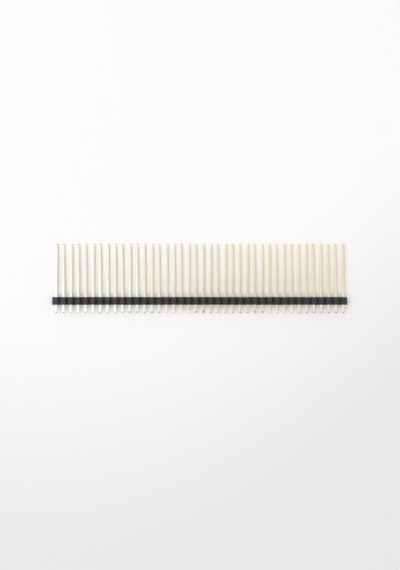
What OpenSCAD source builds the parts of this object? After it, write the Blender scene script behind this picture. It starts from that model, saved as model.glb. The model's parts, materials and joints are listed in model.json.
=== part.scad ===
// Long-pin single-row header strip, laid on its side as it comes to rest on a table.
//
// Every sub-part is drawn upright, in the frame that the strip is used in:
// X runs along the row, Y across it and Z along the pins, with z = 0 on the
// seating face that meets the circuit board. laid_down() then turns the strip on
// to its long side, where the front edge of the insulator and the ends of the
// long pins carry it.
//
// All sizes are in millimetres and all angles in degrees.

/* [Row] */
// Number of pins in the row
pin_count = 40; // [2:1:50]
// Distance from one pin to the next
pitch = 2.54; // [2.4:0.01:3.96]

/* [Insulator] */
// Height of the insulator along the pins
body_height = 2.62; // [1.8:0.02:4]
// Thickness of the insulator across the row
body_thickness = 2.5; // [2:0.02:3.4]
// Width of a snap-off notch where it opens on to the side face
notch_width = 1.12; // [0.5:0.02:1.2]
// Depth of a snap-off notch
notch_depth = 0.54; // [0.2:0.02:0.6]
// Width of the flat at the bottom of a snap-off notch
notch_floor = 0.08; // [0.02:0.02:0.2]
// Depth and width of the bevel that leads a pin into its hole
lead_in = 0.12; // [0.04:0.01:0.2]

/* [Pins] */
// Side of the square wire
pin_side = 0.64; // [0.5:0.01:0.76]
// Length of the long mating end, measured from the insulator
mating_length = 18.5; // [10:0.1:30]
// Length of the solder tail, measured from the seating face
tail_length = 2.82; // [2:0.02:5]
// Length of the four-sided taper at each end of a pin
taper_length = 0.7; // [0.3:0.05:1.2]
// Side of the small square flat at the point of a taper
point_side = 0.28; // [0.1:0.02:0.4]
// Greatest sideways lean of a mating end
lean_limit = 0.55; // [0:0.05:1]

/* [Grip] */
// Width across the two coined ears that hold a pin in the insulator
ear_width = 0.78; // [0.78:0.01:0.9]
// Length of the ears along the pin
ear_length = 1.1; // [0.6:0.05:1.4]
// Length of the ramp at each end of an ear
ear_ramp = 0.25; // [0.1:0.05:0.25]

/* [Hidden] */
function pin_name(i) = str("pin_", i < 10 ? "0" : "", i);

insulator_black = [0.13, 0.13, 0.14];
plated_brass = [0.86, 0.79, 0.62];

row_length = pin_count * pitch;
pin_top = body_height + mating_length;
mid_height = body_height / 2;

// Extra length that lets a cutter or an extruded view pass clean through.
overshoot = 1;
view_depth = 2 * pitch;

// Turn from one pin to the next in the lean pattern: the golden angle never repeats itself.
lean_step = 137.508;

// The strip tips over the front edge of the insulator until the long pins touch
// down, either where their taper starts or at their points, whichever comes first.
rest_tilt = min(
    atan((body_thickness - pin_side) / 2 / (mating_length - taper_length)),
    atan((body_thickness - point_side) / 2 / mating_length)
);
rest_lift = body_thickness / 2 * cos(rest_tilt) + body_height * sin(rest_tilt);
rest_shift = (pin_top - tail_length) / 2 * cos(rest_tilt);

// Place of a pin's axis along the row, counted from 1.
function pin_x(i) = (i - (pin_count + 1) / 2) * pitch;

// Sideways step per millimetre of a pin's mating end.
function lean_slope(i) = tan(lean_limit) * sin(i * lean_step);

// A view of a bar whose width changes along Z. Each station is [z, half width, centre].
function bar_view(stations) = concat(
    [for (s = stations) [s[2] + s[1], s[0]]],
    [for (k = [len(stations) - 1 : -1 : 0]) [stations[k][2] - stations[k][1], stations[k][0]]]
);

// The swell of the two coined ears, centred in the insulator.
function ear_stations() = [
    [mid_height - ear_length / 2, pin_side / 2, 0],
    [mid_height - ear_length / 2 + ear_ramp, ear_width / 2, 0],
    [mid_height + ear_length / 2 - ear_ramp, ear_width / 2, 0],
    [mid_height + ear_length / 2, pin_side / 2, 0]
];

// The mating end: straight up to the insulator's top face, then leaning by the slope.
function mating_stations(slope) = [
    [body_height, pin_side / 2, 0],
    [pin_top - taper_length, pin_side / 2, slope * (mating_length - taper_length)],
    [pin_top, point_side / 2, slope * mating_length]
];

function tail_stations() = [
    [-tail_length, point_side / 2, 0],
    [taper_length - tail_length, pin_side / 2, 0]
];

// A bevelled mouth at the top face, one lead-in wider than the hole all round.
function mouth_stations() = [
    [body_height - lead_in, pin_side / 2, 0],
    [body_height + overshoot, pin_side / 2 + lead_in + overshoot, 0]
];

// The solid that shows one outline from the front and another from the side.
module from_two_views(front, side) {
    intersection() {
        rotate([90, 0, 0])
            linear_extrude(height = view_depth, center = true)
                polygon(front);
        rotate([90, 0, 90])
            linear_extrude(height = view_depth, center = true)
                polygon(side);
    }
}

// Front of one cell, from the notch on its left to the notch on its right.
function cell_front(x) = [
    [x - (pitch - notch_floor) / 2, notch_depth - body_thickness / 2],
    [x - (pitch - notch_width) / 2, -body_thickness / 2],
    [x + (pitch - notch_width) / 2, -body_thickness / 2],
    [x + (pitch - notch_floor) / 2, notch_depth - body_thickness / 2]
];

// Plan of the whole strip, a chain of eight-sided cells joined by thin necks. The
// back is the front turned half round, and half a notch is left at each end.
function strip_plan() = let (
    front = concat(
        [[-row_length / 2, notch_depth - body_thickness / 2]],
        [for (i = [1 : pin_count]) each cell_front(pin_x(i))],
        [[row_length / 2, notch_depth - body_thickness / 2]]
    )
) concat(front, [for (p = front) -p]);

// The square hole of one pin, with pockets where its ears bite into the plastic.
module pin_hole() {
    straight = [
        [-overshoot, pin_side / 2, 0],
        [body_height + overshoot, pin_side / 2, 0]
    ];
    from_two_views(
        bar_view(concat([straight[0]], ear_stations(), [straight[1]])),
        bar_view(straight)
    );
    from_two_views(bar_view(mouth_stations()), bar_view(mouth_stations()));
}

module insulator() {
    color(insulator_black)
        difference() {
            linear_extrude(height = body_height)
                polygon(strip_plan());
            for (i = [1 : pin_count])
                translate([pin_x(i), 0, 0])
                    pin_hole();
        }
}

// One pin of square wire, pointed at both ends and coined where it is gripped.
module pin(i) {
    slope = lean_slope(i);
    color(plated_brass)
        translate([pin_x(i), 0, 0])
            from_two_views(
                bar_view(concat(tail_stations(), ear_stations(), mating_stations(slope))),
                bar_view(concat(tail_stations(), mating_stations(0)))
            );
}

// Lays the upright strip on its side, centred over the origin.
module laid_down() {
    translate([0, -rest_shift, rest_lift])
        rotate([-90 - rest_tilt, 0, 0])
            children();
}

laid_down() insulator();
for (i = [1 : pin_count])
    laid_down() pin(i);
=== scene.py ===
"""Looks of a pin header strip: a moulded snap-apart insulator and its long square pins.

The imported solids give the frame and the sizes. The insulator and the pins are worked out again as
surfaces with rounded edges, in the same place, and stand for the solids. Lengths are in metres.
"""
import json
import math

import bpy
import numpy as np
from bpy.props import FloatProperty, FloatVectorProperty, IntProperty, PointerProperty
from bpy.types import Operator, Panel, PropertyGroup
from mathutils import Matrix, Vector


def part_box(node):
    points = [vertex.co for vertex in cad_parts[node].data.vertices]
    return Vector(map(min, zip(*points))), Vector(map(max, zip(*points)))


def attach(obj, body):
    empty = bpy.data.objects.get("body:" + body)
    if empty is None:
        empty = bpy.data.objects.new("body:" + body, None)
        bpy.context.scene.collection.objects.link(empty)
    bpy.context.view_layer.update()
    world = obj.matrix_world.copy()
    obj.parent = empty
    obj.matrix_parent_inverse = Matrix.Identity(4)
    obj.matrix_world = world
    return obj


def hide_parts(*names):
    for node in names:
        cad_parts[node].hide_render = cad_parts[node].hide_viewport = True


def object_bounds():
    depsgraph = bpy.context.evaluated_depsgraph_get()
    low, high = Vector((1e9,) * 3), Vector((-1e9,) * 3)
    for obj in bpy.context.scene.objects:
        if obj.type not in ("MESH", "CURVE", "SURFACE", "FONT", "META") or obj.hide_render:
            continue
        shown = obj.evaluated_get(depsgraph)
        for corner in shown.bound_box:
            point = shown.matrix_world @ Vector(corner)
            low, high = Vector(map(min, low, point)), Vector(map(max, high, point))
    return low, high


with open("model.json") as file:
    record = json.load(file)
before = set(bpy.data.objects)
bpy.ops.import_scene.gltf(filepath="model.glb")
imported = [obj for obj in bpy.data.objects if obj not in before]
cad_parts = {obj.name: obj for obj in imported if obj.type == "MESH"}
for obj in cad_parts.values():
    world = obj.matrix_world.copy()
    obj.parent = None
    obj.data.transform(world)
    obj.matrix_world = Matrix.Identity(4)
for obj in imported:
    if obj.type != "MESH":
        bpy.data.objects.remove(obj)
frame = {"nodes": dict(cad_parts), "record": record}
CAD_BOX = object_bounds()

bl_info = {
    "name": "Pin header strip",
    "version": (1, 0, 0),
    "blender": (4, 5, 0),
    "location": "3D View > Sidebar > Header strip",
    "description": "Makes a snap-apart strip of long square pins with its finishes and its stage",
    "category": "Add Mesh",
}

MM = 0.001
BODY = "root"
WHITE = (1.0, 1.0, 1.0, 1.0)

# Turn from one pin to the next in the pattern of their leans. It never repeats itself.
GOLDEN_ANGLE = math.radians(137.508)

# Faces that meet at more than this angle keep a sharp edge.
SHARP_ANGLE = math.radians(38)


# ---------------------------------------------------------------- sizes read from the frame

MOUNTS = {mount["name"]: mount for mount in frame["record"]["mounts"]}
SEAT = np.array(MOUNTS["pcb_seat"]["pos_m"])
SEAT_NORMAL = np.array(MOUNTS["pcb_seat"]["axis"])
TILT = math.atan2(SEAT_NORMAL[2], -SEAT_NORMAL[1])
PIN_NODES = sorted(name for name in frame["nodes"] if name.startswith("pin_"))


def reach(mount):
    """Distance from the seating face to another mount."""
    return float(np.linalg.norm(np.array(MOUNTS[mount]["pos_m"]) - SEAT))


def insulator_section():
    """Height along the pins and thickness across the row of the tilted insulator.

    A box of height h and thickness t that leans by the tilt spans h cos + t sin along Y and
    t cos + h sin along Z. The two equations are solved for h and t.
    """
    low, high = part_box("insulator")
    span_y, span_z = high[1] - low[1], high[2] - low[2]
    cosine, sine, double = math.cos(TILT), math.sin(TILT), math.cos(2 * TILT)
    return (span_y * cosine - span_z * sine) / double, (span_z * cosine - span_y * sine) / double


BODY_HEIGHT, BODY_THICKNESS = insulator_section()


class StripSizes(PropertyGroup):
    """Driving dimensions of the strip."""

    pin_count: IntProperty(
        name="Pins", description="Number of pins in the row", default=len(PIN_NODES), min=2)
    pitch: FloatProperty(
        name="Pitch", description="Distance from one pin to the next",
        default=MOUNTS["mating_posts"]["dims"]["spacing_x_mm"] * MM, unit="LENGTH", precision=5)
    body_height: FloatProperty(
        name="Insulator height", description="Height of the insulator along the pins",
        default=BODY_HEIGHT, unit="LENGTH", precision=5)
    body_thickness: FloatProperty(
        name="Insulator thickness", description="Thickness of the insulator across the row",
        default=BODY_THICKNESS, unit="LENGTH", precision=5)
    notch_width: FloatProperty(
        name="Notch width", description="Width of a snap-off notch at the side face",
        default=1.12 * MM, unit="LENGTH", precision=5)
    notch_depth: FloatProperty(
        name="Notch depth", description="Depth of a snap-off notch",
        default=0.54 * MM, unit="LENGTH", precision=5)
    notch_floor: FloatProperty(
        name="Notch floor", description="Width of the flat at the bottom of a notch",
        default=0.08 * MM, unit="LENGTH", precision=5)
    lead_in: FloatProperty(
        name="Lead-in", description="Bevel at the mouth of a pin's hole",
        default=0.12 * MM, unit="LENGTH", precision=5)
    edge_radius: FloatProperty(
        name="Edge radius", description="Rounding of the insulator's moulded edges",
        default=0.06 * MM, unit="LENGTH", precision=5)
    hole_gap: FloatProperty(
        name="Hole gap", description="Clearance between a pin and the rim of its hole",
        default=0.008 * MM, unit="LENGTH", precision=6)
    pin_side: FloatProperty(
        name="Pin side", description="Side of the square wire",
        default=0.64 * MM, unit="LENGTH", precision=5)
    mating_length: FloatProperty(
        name="Mating length", description="Length of the long end beyond the insulator",
        default=reach("mating_posts") - BODY_HEIGHT, unit="LENGTH", precision=5)
    tail_length: FloatProperty(
        name="Tail length", description="Length of the solder tail beyond the seating face",
        default=reach("solder_tails"), unit="LENGTH", precision=5)
    taper_length: FloatProperty(
        name="Taper length", description="Length of the four-sided taper at each end of a pin",
        default=0.7 * MM, unit="LENGTH", precision=5)
    point_side: FloatProperty(
        name="Point side", description="Side of the flat at the point of a taper",
        default=0.28 * MM, unit="LENGTH", precision=5)
    ear_width: FloatProperty(
        name="Ear width", description="Width across the two coined ears in the insulator",
        default=0.78 * MM, unit="LENGTH", precision=5)
    ear_length: FloatProperty(
        name="Ear length", description="Length of the coined ears along the pin",
        default=1.1 * MM, unit="LENGTH", precision=5)
    ear_ramp: FloatProperty(
        name="Ear ramp", description="Length of the ramp at each end of an ear",
        default=0.25 * MM, unit="LENGTH", precision=5)
    lean_limit: FloatProperty(
        name="Lean", description="Greatest sideways lean of a mating end",
        default=math.radians(0.55), subtype="ANGLE")


class StripColours(PropertyGroup):
    """Colours of the strip's finishes and of its stage."""

    plastic: FloatVectorProperty(
        name="Insulator", description="Black moulded plastic", subtype="COLOR",
        default=(0.0185, 0.0182, 0.0178), min=0, max=1)
    plating: FloatVectorProperty(
        name="Plating", description="Thin pale-gold plating on the pins", subtype="COLOR",
        default=(0.83, 0.785, 0.665), min=0, max=1)
    # Far darker than brass: the bare wire colour is partly painted shade on the cut points.
    bare_wire_and_shade: FloatVectorProperty(
        name="Bare wire", description="Cut brass at the points of the pins", subtype="COLOR",
        default=(0.08, 0.068, 0.052), min=0, max=1)
    table: FloatVectorProperty(
        name="Table", description="Pale table top under the light", subtype="COLOR",
        default=(0.924, 0.906, 0.888), min=0, max=1)
    # Painted shade: the table is painted darker where the light would fall off.
    table_painted_dim: FloatVectorProperty(
        name="Far table", description="Table top where it falls off to the front right",
        subtype="COLOR", default=(0.795, 0.783, 0.750), min=0, max=1)


class StageSizes(PropertyGroup):
    """Camera and light of the stage."""

    camera_height: FloatProperty(
        name="Camera height", description="Height of the camera above the table",
        default=0.230, unit="LENGTH")
    camera_offset: FloatProperty(
        name="Camera offset", description="How far the camera stands towards the solder tails",
        default=2.30 * MM, unit="LENGTH", precision=5)
    camera_side: FloatProperty(
        name="Camera side step", description="How far the camera stands to the right",
        default=0.09 * MM, unit="LENGTH", precision=5)
    lens: FloatProperty(
        name="Lens", description="Focal length of the camera in millimetres", default=41.83)
    lamp_place: FloatVectorProperty(
        name="Lamp place", description="Centre of the soft lamp, which hangs level",
        subtype="TRANSLATION", default=(-0.48, 0.10, 0.70))
    lamp_power: FloatProperty(
        name="Lamp power", description="Power of the soft lamp", default=0.95, unit="POWER")
    lamp_size: FloatProperty(
        name="Lamp size", description="Side of the square soft lamp", default=0.40, unit="LENGTH")


# ---------------------------------------------------------------- shader expressions


class Signal:
    """A shader socket that Python arithmetic extends with Math nodes."""

    def __init__(self, graph, socket):
        self.graph = graph
        self.socket = socket

    def math(self, operation, *values):
        """A Math node on this value and up to two more."""
        return self.graph.node("ShaderNodeMath", (self, *values), operation=operation)

    def __add__(self, other):
        return self.math("ADD", other)

    __radd__ = __add__

    def __mul__(self, other):
        return self.math("MULTIPLY", other)

    __rmul__ = __mul__

    def __sub__(self, other):
        return self.math("SUBTRACT", other)

    def __rsub__(self, other):
        return (self * -1) + other

    def __truediv__(self, other):
        return self.math("DIVIDE", other)

    def __pow__(self, other):
        return self.math("POWER", other)


class Graph:
    """The node tree of a material or of the world."""

    def __init__(self, owner):
        owner.use_nodes = True
        self.tree = owner.node_tree
        self.tree.nodes.clear()

    def node(self, kind, inputs=(), output=0, **settings):
        """Adds a node: its settings first, then the values or links of its sockets."""
        made = self.tree.nodes.new(kind)
        for name, value in settings.items():
            setattr(made, name, value)
        sockets = inputs.items() if isinstance(inputs, dict) else enumerate(inputs)
        for key, value in sockets:
            if isinstance(value, Signal):
                self.tree.links.new(value.socket, made.inputs[key])
            else:
                made.inputs[key].default_value = value
        return Signal(self, made.outputs[output]) if made.outputs else None

    def place(self):
        """Object coordinates, in metres."""
        return self.node("ShaderNodeTexCoord", output="Object")

    def along(self, vector, axis):
        """One of a vector's components."""
        return self.node("ShaderNodeSeparateXYZ", (vector,), output="XYZ".index(axis))

    def noise(self, vector, grain, detail=2.0, stretch=(1.0, 1.0, 1.0)):
        """Noise from 0 to 1 whose lumps are about `grain` wide, times `stretch` on each axis."""
        scale = tuple(1 / (grain * factor) for factor in stretch)
        scaled = self.node("ShaderNodeMapping", {"Vector": vector, "Scale": scale})
        return self.node("ShaderNodeTexNoise", {"Vector": scaled, "Scale": 1.0, "Detail": detail})

    def luck(self, seed):
        """A chance value from 0 to 1 that is always the same for the same seed."""
        return self.node("ShaderNodeTexWhiteNoise", {"W": seed}, noise_dimensions="1D")

    def blend(self, factor, first, second, how="MIX"):
        """Mixes two colours by a factor."""
        return self.node(
            "ShaderNodeMix", {0: factor, 6: first, 7: second}, output=2,
            data_type="RGBA", blend_type=how)

    def multiplied(self, first, second):
        """Multiplies two colours, channel by channel."""
        return self.blend(1.0, first, second, how="MULTIPLY")

    def ramp(self, value, low, high):
        """0 below `low`, 1 above `high` and a smooth step between them."""
        return self.node(
            "ShaderNodeMapRange", {"Value": value, "From Min": low, "From Max": high},
            interpolation_type="SMOOTHSTEP")

    def fall(self, value, low, high):
        """1 below `low`, 0 above `high` and a smooth step between them."""
        return 1 - self.ramp(value, low, high)

    def bump(self, height, depth):
        """A normal that follows a height of 0 to 1 over a depth in metres."""
        return self.node(
            "ShaderNodeBump", {"Height": height, "Distance": depth}, output="Normal")

    def surface(self, **sockets):
        """Ends the tree in a Principled shader. Underscores in names stand for spaces."""
        named = {name.replace("_", " "): value for name, value in sockets.items()}
        shader = self.node("ShaderNodeBsdfPrincipled", named)
        self.node("ShaderNodeOutputMaterial", {"Surface": shader})


def rgba(colour):
    """A colour with full opacity, as colour sockets take it."""
    return (*colour, 1.0)


def tinted(colour, gains):
    """A colour with full opacity whose channels are multiplied by the gains."""
    return rgba([part * gain for part, gain in zip(colour, gains)])


def at_least(least, share):
    """Squeezes a share of 0 to 1 into the part of that range above `least`."""
    return least + (1 - least) * share


def plastic_finish(colours):
    """Black moulded plastic: fine spark-eroded grain, faint flow clouds and a satin sheen."""
    cloud_size, cloud_gain, cloud_roughness = 1.6 * MM, 1.5, 0.09
    grain_size, grain_depth = 0.045 * MM, 0.004 * MM
    base_roughness, sheen = 0.23, 0.36
    material = bpy.data.materials.new("moulded_plastic")
    graph = Graph(material)
    place = graph.place()
    clouds = graph.noise(place, cloud_size, detail=3.0)
    grain = graph.noise(place, grain_size, detail=3.0)
    tone = graph.blend(
        graph.ramp(clouds, 0.3, 0.7), rgba(colours.plastic),
        tinted(colours.plastic, [cloud_gain] * 3))
    graph.surface(
        Base_Color=tone,
        Roughness=base_roughness + cloud_roughness * clouds,
        Specular_IOR_Level=sheen,
        Normal=graph.bump(grain, grain_depth))
    return material


def plated_finish(sizes, colours):
    """Pale-gold plating on drawn wire, a little different on each pin; bare points in painted
    shade.
    """
    material = bpy.data.materials.new("gold_plating")
    graph = Graph(material)
    place = graph.place()

    # Pins are numbered from 0 at the left, and each number draws its own luck three times.
    number = (graph.along(place, "X") / sizes.pitch + sizes.pin_count / 2).math("FLOOR")
    hue_luck, silver_luck, cut_luck = (
        graph.luck(number), graph.luck(number + 0.5), graph.luck(number + 0.25))

    # Drawing lines run along the wire, and the tarnish comes in long faint patches.
    line_width, line_depth, patch_width = 0.03 * MM, 0.002 * MM, 0.9 * MM
    lines = graph.noise(place, line_width, detail=3.0, stretch=(1, 60, 1))
    patches = graph.noise(place, patch_width, detail=2.0, stretch=(1, 4, 1))

    # Each pin lies somewhere between rosy and lemon, and nearly half of them turn silvery.
    rosy = tinted(colours.plating, (1.03, 0.95, 0.96))
    lemon = tinted(colours.plating, (0.99, 1.03, 0.87))
    silvery, most_silver = rgba((0.85, 0.82, 0.745)), 0.70
    tarnish, most_tarnish = rgba((0.70, 0.55, 0.34)), 0.14
    tint = graph.blend(hue_luck, rosy, lemon)
    tint = graph.blend(graph.ramp(silver_luck, 0.55, 1.0) * most_silver, tint, silvery)
    tint = graph.blend(graph.ramp(patches, 0.45, 0.75) * most_tarnish, tint, tarnish)

    # The full gold starts a little above the insulator, so the roots and the tails are paler.
    # The mating tips turn paler too, from the longer to the shorter distance to the tip.
    pale, most_pale = rgba((0.86, 0.84, 0.76)), 0.88
    root_length, gold_fade = 0.4 * MM, 0.9 * MM
    tip_pale, tip_far, tip_near = rgba((0.91, 0.89, 0.82)), 0.9 * MM, 0.4 * MM
    half_span = (sizes.tail_length + sizes.body_height + sizes.mating_length) / 2 * math.cos(TILT)
    from_end = graph.along(place, "Y") + half_span
    gold_starts = sizes.tail_length + sizes.body_height + root_length
    gilded = graph.ramp(from_end, gold_starts, gold_starts + gold_fade)
    tint = graph.blend(most_pale * (1 - gilded), tint, pale)
    paler_tips = graph.ramp(from_end, 2 * half_span - tip_far, 2 * half_span - tip_near)
    tint = graph.blend(paler_tips, tint, tip_pale)

    # Painted light: the flanks of the wire get a brighter, deeper gold that lifts the shade on
    # them.
    painted_flank_gold, least_flank = rgba((0.97, 0.89, 0.61)), 0.35
    normal = graph.node("ShaderNodeNewGeometry", output="Normal")
    flank = graph.fall(graph.along(normal, "Z").math("ABSOLUTE"), 0.25, 0.75)
    tint = graph.blend(flank * at_least(least_flank, gilded), tint, painted_flank_gold)

    # The tails are cut after plating, so the point of most of them shows bare wire. It comes
    # and goes in waves along the row, and there is most of it right of the middle.
    # Their colour is painted far darker than brass, so it is partly painted shade on the points.
    wave_length, wave_start = 13.6, 1.45
    wave = (number * (2 * math.pi / wave_length) - wave_start).math("COSINE")
    dull_from, dull_to, bright_from, bright_to, brightening = 4, 22, 28, 34, 0.75
    bare_and_shade_share = graph.ramp(number, dull_from, dull_to) * (
        1 - brightening * graph.ramp(number, bright_from, bright_to))
    least_bare, least_lucky, least_dark_share = 0.12, 0.60, 0.50
    in_wave = graph.ramp(1 - wave, 0.20, 0.60)
    uncoated_and_shaded = at_least(least_bare, in_wave * at_least(least_lucky, cut_luck))
    uncoated_and_shaded = uncoated_and_shaded * at_least(least_dark_share, bare_and_shade_share)
    shortest_cut, spare_cut, cut_fade = 0.40, 0.28, 0.22 * MM
    dark_point_end = (shortest_cut + spare_cut * bare_and_shade_share * cut_luck) * MM
    bare_and_shade = graph.fall(from_end, dark_point_end, dark_point_end + cut_fade) * uncoated_and_shaded

    base_roughness, patch_roughness, cut_roughness = 0.10, 0.07, 0.2
    graph.surface(
        Base_Color=graph.blend(bare_and_shade, tint, rgba(colours.bare_wire_and_shade)),
        Metallic=1.0,
        Roughness=base_roughness + patch_roughness * patches + cut_roughness * bare_and_shade,
        Normal=graph.bump(lines, line_depth))
    return material


# ---------------------------------------------------------------- surfaces


def laid_down(points):
    """Turns points from the upright frame of the strip into the frame it lies in.

    Upright, X runs along the row, Y across it and Z along the pins from the seating face. The
    turn about X takes Z to +Y, dipped by the tilt, and Y to -Z, and the seat gives the place.
    """
    sine, cosine = math.sin(TILT), math.cos(TILT)
    turn = np.array([[1, 0, 0], [0, -sine, cosine], [0, -cosine, -sine]])
    return points @ turn.T + SEAT


def bend(before, corner, after, cut, samples):
    """Rounds a corner: (1-t)^2 A + 2t(1-t) B + t^2 C.

    B is the corner, and A and C lie `cut` away from it towards the points before and after it.
    Points are arrays whose last axis is X, Y. The samples come as a new axis before that.
    """
    def towards(point):
        """Where the curve meets the leg from the corner to a neighbouring point."""
        leg = point - corner
        return corner + cut * leg / np.linalg.norm(leg, axis=-1, keepdims=True)

    t = np.linspace(0, 1, samples)[:, None]
    first, middle, last = (p[..., None, :] for p in (towards(before), corner, towards(after)))
    return (1 - t) ** 2 * first + 2 * t * (1 - t) * middle + t ** 2 * last


def straight(start, end, fractions):
    """Points on the line from start to end at the given fractions of its length."""
    fractions = np.asarray(fractions)[:, None]
    return start[..., None, :] * (1 - fractions) + end[..., None, :] * fractions


def all_round(quarter):
    """Mirrors a quarter outline, from the X axis to the Y axis, into a closed one."""
    back = quarter[..., ::-1, :]
    return np.concatenate([
        quarter,
        back[..., 1:, :] * (-1, 1),
        quarter[..., 1:, :] * (-1, -1),
        back[..., 1:-1, :] * (1, -1),
    ], axis=-2)


def pairs(x, y):
    """Stacks X and Y arrays, which may be numbers, into points."""
    return np.stack(np.broadcast_arrays(np.asarray(x, float), np.asarray(y, float)), axis=-1)


# The outlines of a cell and of its hole need the same number of points. A quarter of either has
# a straight run at both ends. Between them a cell has two rounded corners, and a hole has one.
SIDE_FRACTIONS = np.linspace(0, 1, 4)
NOTCH_SAMPLES = 3
SHOULDER_SAMPLES = 5
HOLE_SAMPLES = NOTCH_SAMPLES + SHOULDER_SAMPLES + 1


def cell_outlines(sizes, inset):
    """Plan outlines of one eight-sided cell, moved inwards by each inset.

    Every edge moves by the inset along its normal and meets its neighbours again, apart from the
    line through the neck, where the next cell carries on.
    """
    neck = sizes.body_thickness / 2 - sizes.notch_depth
    floor_end = pairs((sizes.pitch - sizes.notch_floor) / 2, neck)
    face_end = pairs((sizes.pitch - sizes.notch_width) / 2, sizes.body_thickness / 2)
    run, rise = face_end - floor_end
    normal = np.array([rise, -run]) / math.hypot(run, rise)

    def on_slope(height):
        """Where the notch's slope, moved inwards, passes a height across the row."""
        return pairs((normal @ floor_end - inset - normal[1] * height) / normal[0], height)

    middle = pairs(sizes.pitch / 2, 0 * inset)
    neck_end = pairs(sizes.pitch / 2, neck - inset)
    notch = on_slope(neck - inset)
    shoulder = on_slope(sizes.body_thickness / 2 - inset)
    crown = pairs(0, sizes.body_thickness / 2 - inset)
    notch_cut, shoulder_cut = 0.03 * MM, 0.09 * MM
    past_shoulder = shoulder + (crown - shoulder) * (
        shoulder_cut / np.linalg.norm(crown - shoulder, axis=-1, keepdims=True))
    return all_round(np.concatenate([
        straight(middle, neck_end, SIDE_FRACTIONS),
        bend(neck_end, notch, shoulder, notch_cut, NOTCH_SAMPLES),
        bend(notch, shoulder, crown, shoulder_cut, SHOULDER_SAMPLES),
        straight(past_shoulder, crown, SIDE_FRACTIONS[1:]),
    ], axis=-2))


def hole_outlines(half_x, half_y):
    """Outlines of a square hole, with as many points as a cell's outline."""
    corner = pairs(half_x, half_y)
    side, top = pairs(half_x, 0 * half_y), pairs(0 * half_x, half_y)
    rounding = 0.03 * MM
    below = corner - (0, rounding)
    beside = corner - (rounding, 0)
    return all_round(np.concatenate([
        straight(side, below, SIDE_FRACTIONS),
        bend(side, corner, top, rounding, HOLE_SAMPLES)[..., 1:, :],
        straight(beside, top, SIDE_FRACTIONS[1:]),
    ], axis=-2))


def insulator_surface(sizes):
    """One closed surface: a section carried round each hole, for all the cells at once.

    The section goes up the wall of the hole, out across the mating face, down the outer wall and
    back under the seating face. Its two ends meet, so a cell alone would be a square ring. The
    outer wall is left out where two cells share a neck.
    """
    height, radius = sizes.body_height, sizes.edge_radius
    half = sizes.pin_side / 2 + sizes.hole_gap
    ear = sizes.ear_width / 2 + sizes.hole_gap
    rim, edge_samples = 0.04 * MM, 5
    low, high = (height - sizes.ear_length) / 2, (height + sizes.ear_length) / 2
    hole = np.array([
        (half + rim, half + rim, 0),
        (half, half, rim),
        (half, half, low),
        (ear, half, low + sizes.ear_ramp),
        (ear, half, high - sizes.ear_ramp),
        (half, half, high),
        (half, half, height - sizes.lead_in),
        (half + sizes.lead_in, half + sizes.lead_in, height),
    ])
    turn = np.linspace(0, math.pi / 2, edge_samples)
    inset = radius * (1 - np.sin(turn))
    drop = radius * (1 - np.cos(turn))
    wall_inset = np.concatenate([inset, inset[::-1]])
    wall_height = np.concatenate([height - drop, drop[::-1]])

    loops = np.concatenate([
        hole_outlines(hole[:, 0], hole[:, 1]), cell_outlines(sizes, wall_inset)])
    heights = np.concatenate([hole[:, 2], wall_height])
    stations, columns = loops.shape[:2]
    cell_x = (np.arange(sizes.pin_count) - (sizes.pin_count - 1) / 2) * sizes.pitch
    points = np.empty((sizes.pin_count, stations, columns, 3))
    points[..., 0] = loops[..., 0] + cell_x[:, None, None]
    points[..., 1] = loops[..., 1]
    points[..., 2] = heights[:, None]

    # The two ends of the row are walls of their own, and their edges are rounded too.
    on_neck = np.isclose(np.abs(loops[-1, :, 0]), sizes.pitch / 2)
    left, right = on_neck & (loops[-1, :, 0] < 0), on_neck & (loops[-1, :, 0] > 0)
    points[0, len(hole):, left, 0] += wall_inset
    points[-1, len(hole):, right, 0] -= wall_inset

    station = np.arange(stations)[None, :, None]
    column = np.arange(columns)[None, None, :]
    number = np.arange(points[..., 0].size).reshape(points.shape[:3])
    next_station = (station + 1) % stations
    next_column = (column + 1) % columns
    cell = np.arange(sizes.pin_count)[:, None, None]
    quads = np.stack([
        number[cell, station, column], number[cell, next_station, column],
        number[cell, next_station, next_column], number[cell, station, next_column],
    ], axis=-1)
    shared = np.zeros((sizes.pin_count, stations, columns), bool)
    for side, end in ((left, 0), (right, -1)):
        inside = side & np.roll(side, -1)
        wall = np.ones(sizes.pin_count, bool)
        wall[end] = False
        shared[np.ix_(wall, np.arange(len(hole), stations - 1), inside)] = True
    return points.reshape(-1, 3), quads[~shared]


def merged(points, faces):
    """Joins points that lie together, to a hundredth of a micron, and drops unused ones."""
    tolerance = 1e-8
    used = points[faces.ravel()]
    keys = np.round(used / tolerance).astype(np.int64)
    _, first, place = np.unique(keys, axis=0, return_index=True, return_inverse=True)
    return used[first], place.reshape(faces.shape)


def pin_stations(sizes):
    """Rows of height and half widths across X and Y, from the tail's point to the mating point."""
    half, point = sizes.pin_side / 2, sizes.point_side / 2
    ear = sizes.ear_width / 2
    low = (sizes.body_height - sizes.ear_length) / 2
    high = sizes.body_height - low
    top = sizes.body_height + sizes.mating_length
    burr, blend = 0.03 * MM, 0.05 * MM
    slope = (half - point) / sizes.taper_length
    tail = [
        (0, point - burr, point - burr),
        (burr, point + slope * burr, point + slope * burr),
        (sizes.taper_length - blend, half - slope * blend, half - slope * blend),
        (sizes.taper_length + blend, half, half),
    ]
    grip = [
        (low, half, half),
        (low + sizes.ear_ramp, ear, half),
        (high - sizes.ear_ramp, ear, half),
        (high, half, half),
    ]
    tail_rows = [(z - sizes.tail_length, x, y) for z, x, y in tail]
    mating_rows = [(top - z, x, y) for z, x, y in reversed(tail)]
    body_rows = [(sizes.body_height, half, half)]
    return np.array(tail_rows + grip + body_rows + mating_rows)


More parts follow.
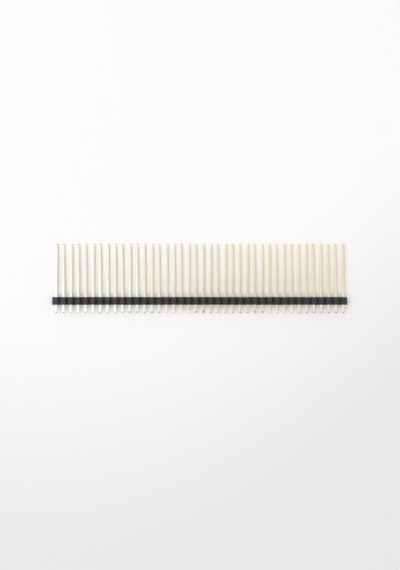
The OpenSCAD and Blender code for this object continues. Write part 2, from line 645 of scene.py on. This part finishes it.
def pin_surfaces(sizes):
    """Square wire with rounded corners, carried along its stations, for every pin at once.

    The unit section is a square whose corners are quadratic curves. A pin's mating end leans
    sideways by a slope of tan(limit) times the sine of the pin's number times the golden angle.
    """
    corner_cut, corner_samples = 0.18, 5
    unit = np.array([(1, 1), (-1, 1), (-1, -1), (1, -1)], float)
    before, after = np.roll(unit, 1, axis=0), np.roll(unit, -1, axis=0)
    section = bend(before, unit, after, corner_cut, corner_samples).reshape(-1, 2)
    rows = pin_stations(sizes)
    number = np.arange(1, sizes.pin_count + 1)
    slope = math.tan(sizes.lean_limit) * np.sin(number * GOLDEN_ANGLE)
    axis_x = (number - (sizes.pin_count + 1) / 2) * sizes.pitch
    above = np.clip(rows[:, 0] - sizes.body_height, 0, None)
    centre = axis_x[:, None] + slope[:, None] * above
    points = np.empty((sizes.pin_count, len(rows), len(section), 3))
    points[..., 0] = centre[..., None] + rows[:, 1, None] * section[:, 0]
    points[..., 1] = rows[:, 2, None] * section[:, 1]
    points[..., 2] = rows[:, 0, None]
    index = np.arange(len(rows) * len(section)).reshape(len(rows), len(section))
    ahead = np.roll(index, -1, axis=1)
    quads = np.stack([index[:-1], ahead[:-1], ahead[1:], index[1:]], axis=-1).reshape(-1, 4)
    caps = [index[0, ::-1].tolist(), index[-1].tolist()]
    return points.reshape(sizes.pin_count, -1, 3), quads.tolist() + caps


def make_piece(name, points, faces, material, node):
    """A smooth-shaded mesh object that rides on the strip and stands for a CAD node."""
    mesh = bpy.data.meshes.new(name)
    mesh.from_pydata(laid_down(points).tolist(), [], faces)
    if mesh.validate():
        raise RuntimeError(f"the surface of {name} had faulty faces")
    mesh.shade_smooth()
    mesh.set_sharp_from_angle(angle=SHARP_ANGLE)
    mesh.materials.append(material)
    piece = bpy.data.objects.new(name, mesh)
    bpy.context.scene.collection.objects.link(piece)
    normals = piece.modifiers.new("flat_faces", "WEIGHTED_NORMAL")
    normals.keep_sharp = True
    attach(piece, BODY)
    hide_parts(node)


# ---------------------------------------------------------------- operators


class MakeInsulator(Operator):
    """Make the moulded insulator"""

    bl_idname = "header_strip.make_insulator"
    bl_label = "Make insulator"

    def execute(self, context):
        scene = context.scene
        points, quads = merged(*insulator_surface(scene.strip_sizes))
        make_piece(
            "moulded_insulator", points, quads.tolist(), plastic_finish(scene.strip_colours),
            "insulator")
        return {"FINISHED"}


class MakePins(Operator):
    """Make the row of plated pins"""

    bl_idname = "header_strip.make_pins"
    bl_label = "Make pins"

    def execute(self, context):
        sizes = context.scene.strip_sizes
        if sizes.pin_count != len(PIN_NODES):
            raise RuntimeError("the frame holds another number of pins")
        material = plated_finish(sizes, context.scene.strip_colours)
        surfaces, faces = pin_surfaces(sizes)
        for node, points in zip(PIN_NODES, surfaces):
            make_piece("plated_" + node, points, faces, material, node)
        return {"FINISHED"}


class MakeStage(Operator):
    """Make the table, the sky, the lamp and the camera"""

    bl_idname = "header_strip.make_stage"
    bl_label = "Make stage"

    def execute(self, context):
        scene = context.scene
        scene.view_settings.view_transform = "Standard"
        make_table(scene.strip_colours)
        make_sky(scene)
        make_lamp(scene)
        make_camera(scene)
        return {"FINISHED"}


def table_surface():
    """Points and faces of a round table top with an upright rim, so that no edge shows.

    The profile is flat out to the radius `flat`. From there the radius is flat + cove sin(a) and
    the height is cove (1 - cos(a)), for a from nothing to a quarter turn. It is turned about Z.
    """
    flat, cove, samples, turns = 1.15, 0.85, 24, 96
    inner_rings = [0.02, 0.15, 0.35]
    angle = np.linspace(0, math.pi / 2, samples)
    radius = np.concatenate([inner_rings, flat + cove * np.sin(angle)])
    height = np.concatenate([np.zeros(len(inner_rings)), cove * (1 - np.cos(angle))])
    around = np.linspace(0, 2 * math.pi, turns, endpoint=False)
    points = np.stack([
        radius[:, None] * np.cos(around),
        radius[:, None] * np.sin(around),
        np.broadcast_to(height[:, None], (len(radius), turns)),
    ], axis=-1)
    index = np.arange(len(radius) * turns).reshape(len(radius), turns)
    ahead = np.roll(index, -1, axis=1)
    quads = np.stack([index[:-1], index[1:], ahead[1:], ahead[:-1]], axis=-1).reshape(-1, 4)
    return points.reshape(-1, 3).tolist(), quads.tolist() + [index[0].tolist()]


def table_finish(colours):
    """A matt pale table with painted shade to the front right and painted light under the pins."""
    material = bpy.data.materials.new("pale_table")
    graph = Graph(material)
    place = graph.place()
    across = graph.along(place, "X")

    # The painted shade starts along a line that slants forward to the left and bows back on both
    # sides of the strip.
    slant, curve, most_bow = 0.38, 4.1, 0.04
    bow = (curve * across * across).math("MINIMUM", most_bow)
    forward = slant * across + bow - graph.along(place, "Y")
    tone = graph.blend(
        graph.ramp(forward, -0.008, 0.094), rgba(colours.table), rgba(colours.table_painted_dim))

    # Painted light: a warm glow is painted on the table under the gilded wire, warmest on the
    # right.
    painted_glow_left, painted_glow_right, margin = rgba((1.0, 1.013, 0.97)), rgba((1.0, 0.974, 0.893)), 0.8 * MM
    painted_glow_area = 1.0
    for axis, near, far in zip("XY", *CAD_BOX):
        along = graph.along(place, axis)
        painted_glow_area = painted_glow_area * graph.ramp(along, near - margin, near + margin) * graph.fall(
            along, far - margin, far + margin)
    painted_glow = graph.blend(
        graph.ramp(across, CAD_BOX[0].x, CAD_BOX[1].x), painted_glow_left, painted_glow_right)

    # Painted light: beside the insulator, by the pale roots and tails, the table is painted
    # lighter.
    painted_root_light, nearest, farthest = rgba((1.08, 1.10, 1.11)), 1.8 * MM, 7.0 * MM
    from_body = (graph.along(place, "Y") - SEAT[1] - BODY_HEIGHT / 2).math("ABSOLUTE")
    painted_lift = graph.blend(graph.ramp(from_body, nearest, farthest), painted_root_light, WHITE)
    painted_glow = graph.multiplied(painted_glow, painted_lift)
    graph.surface(
        Base_Color=graph.blend(painted_glow_area, tone, graph.multiplied(tone, painted_glow)),
        Roughness=0.85, Specular_IOR_Level=0.1)
    return material


def make_table(colours):
    """Makes the table, which belongs to the stage."""
    points, faces = table_surface()
    mesh = bpy.data.meshes.new("table")
    mesh.from_pydata(points, [], faces)
    mesh.shade_smooth()
    mesh.materials.append(table_finish(colours))
    table = bpy.data.objects.new("table", mesh)
    bpy.context.scene.collection.objects.link(table)


def sky_strength(graph, side, away, ceiling, strip):
    """How bright the sky is in every direction.

    `ceiling` is 1 overhead and 0 low down, and `strip` is 1 in the strip of sky that the flat
    faces of the wire mirror.
    """
    # Low down it is dim, and the left gives more light than the right.
    dim, left_glow, right_glow = 0.38, 0.68, 0.16
    low = (dim + left_glow * graph.fall(side, -0.70, -0.40)
           + right_glow * graph.ramp(side, 0.40, 0.70))

    # A wide softbox overhead grows brighter to the left. The strip across it is calmer, with a
    # window at its left.
    softbox_base, softbox_gain, strip_base, window_gain = 1.16, 0.61, 1.00, 0.16
    softbox = softbox_base + softbox_gain * graph.fall(side, -0.35, 0.35)
    window = graph.fall(side, -0.12, 0.0) * graph.fall(away, 0.10, 0.17)
    overhead = softbox + (strip_base + window_gain * window - softbox) * strip
    strength = low + (overhead - low) * ceiling

    # One slanting oval spot almost straight above is dim, because the holder of the camera is
    # in the way. It is a circle that is skewed, stretched along the row and squeezed across it.
    spot_side, spot_away, spot_radius, spot_least = 0.0426, 0.074, 0.085, 0.20
    skew, side_scale, away_scale = 1.9, 0.5, 1.8
    beyond = away - spot_away
    slanted = side_scale * (side - spot_side - skew * beyond)
    from_spot = (slanted * slanted + (away_scale * beyond) * (away_scale * beyond)) ** 0.5
    return strength * at_least(spot_least, graph.ramp(from_spot, 0.0, spot_radius))


def sky_tint(graph, side, away, ceiling, strip):
    """The colour of the sky: white low down, and overhead from cool on the left to warm.

    The right part of the strip that the wire mirrors is a little cooler and dimmer again.
    """
    cool, warm = rgba((0.96, 1.0, 1.20)), rgba((1.01, 0.955, 0.80))
    shade = rgba((0.93, 0.935, 1.0))
    colour = graph.blend(graph.ramp(side, -0.36, 0.46), cool, warm)
    shaded = strip * graph.ramp(side, 0.08, 0.20) * graph.ramp(away, 0.076, 0.092)
    colour = graph.multiplied(colour, graph.blend(shaded, WHITE, shade))
    return graph.blend(ceiling, WHITE, colour)


def make_sky(scene):
    """The world: a white studio with a softbox overhead, which the strip mirrors.

    A direction is a unit vector. `side` is its share along X, which is the row, and `away` is
    its share along Y, which is the way the mating ends point.
    """
    world = bpy.data.worlds.new("studio")
    scene.world = world
    graph = Graph(world)
    direction = graph.node("ShaderNodeTexCoord", output="Generated")
    up = graph.along(direction, "Z")
    side, away = graph.along(direction, "X"), graph.along(direction, "Y")
    ceiling = graph.ramp(up, 0.66, 0.80)
    strip_middle = 0.11
    strip = graph.fall((away - strip_middle).math("ABSOLUTE"), 0.08, 0.22) * graph.fall(
        side.math("ABSOLUTE"), 0.30, 0.44)
    sky = graph.node("ShaderNodeBackground", {
        "Color": sky_tint(graph, side, away, ceiling, strip),
        "Strength": sky_strength(graph, side, away, ceiling, strip)})
    graph.node("ShaderNodeOutputWorld", {"Surface": sky})


def make_lamp(scene):
    """One soft lamp high on the left, which hangs level and shines down."""
    lamp = bpy.data.lights.new("soft_lamp", "AREA")
    lamp.energy = scene.stage_sizes.lamp_power
    lamp.size = scene.stage_sizes.lamp_size
    holder = bpy.data.objects.new("soft_lamp", lamp)
    holder.location = scene.stage_sizes.lamp_place
    scene.collection.objects.link(holder)


def make_camera(scene):
    """A camera straight above the strip, which looks down with the mating ends at the top."""
    stage = scene.stage_sizes
    camera = bpy.data.cameras.new("camera")
    camera.lens = stage.lens
    camera.clip_start = 0.01
    holder = bpy.data.objects.new("camera", camera)
    centre = (CAD_BOX[0] + CAD_BOX[1]) / 2
    holder.location = (
        centre.x + stage.camera_side, centre.y - stage.camera_offset, stage.camera_height)
    scene.collection.objects.link(holder)
    scene.camera = holder


class HeaderStripPanel(Panel):
    """Sizes, colours and makers of the strip"""

    bl_idname = "VIEW3D_PT_header_strip"
    bl_label = "Header strip"
    bl_space_type = "VIEW_3D"
    bl_region_type = "UI"
    bl_category = "Header strip"

    def draw(self, context):
        for group in (
                context.scene.strip_sizes, context.scene.strip_colours, context.scene.stage_sizes):
            box = self.layout.box()
            for name in group.bl_rna.properties.keys():
                if name not in ("rna_type", "name"):
                    box.prop(group, name)
        for operator in (MakeInsulator, MakePins, MakeStage):
            self.layout.operator(operator.bl_idname)


CLASSES = (
    StripSizes, StripColours, StageSizes, MakeInsulator, MakePins, MakeStage, HeaderStripPanel)


def register():
    """Registers the classes and gives the scene the strip's sizes and colours."""
    for kind in CLASSES:
        bpy.utils.register_class(kind)
    bpy.types.Scene.strip_sizes = PointerProperty(type=StripSizes)
    bpy.types.Scene.strip_colours = PointerProperty(type=StripColours)
    bpy.types.Scene.stage_sizes = PointerProperty(type=StageSizes)


def unregister():
    """Takes back what register() has added."""
    del bpy.types.Scene.stage_sizes
    del bpy.types.Scene.strip_colours
    del bpy.types.Scene.strip_sizes
    for kind in reversed(CLASSES):
        bpy.utils.unregister_class(kind)


def main():
    """Makes the strip and its stage."""
    register()
    bpy.ops.header_strip.make_insulator()
    bpy.ops.header_strip.make_pins()
    bpy.ops.header_strip.make_stage()


if __name__ == "__main__":
    main()
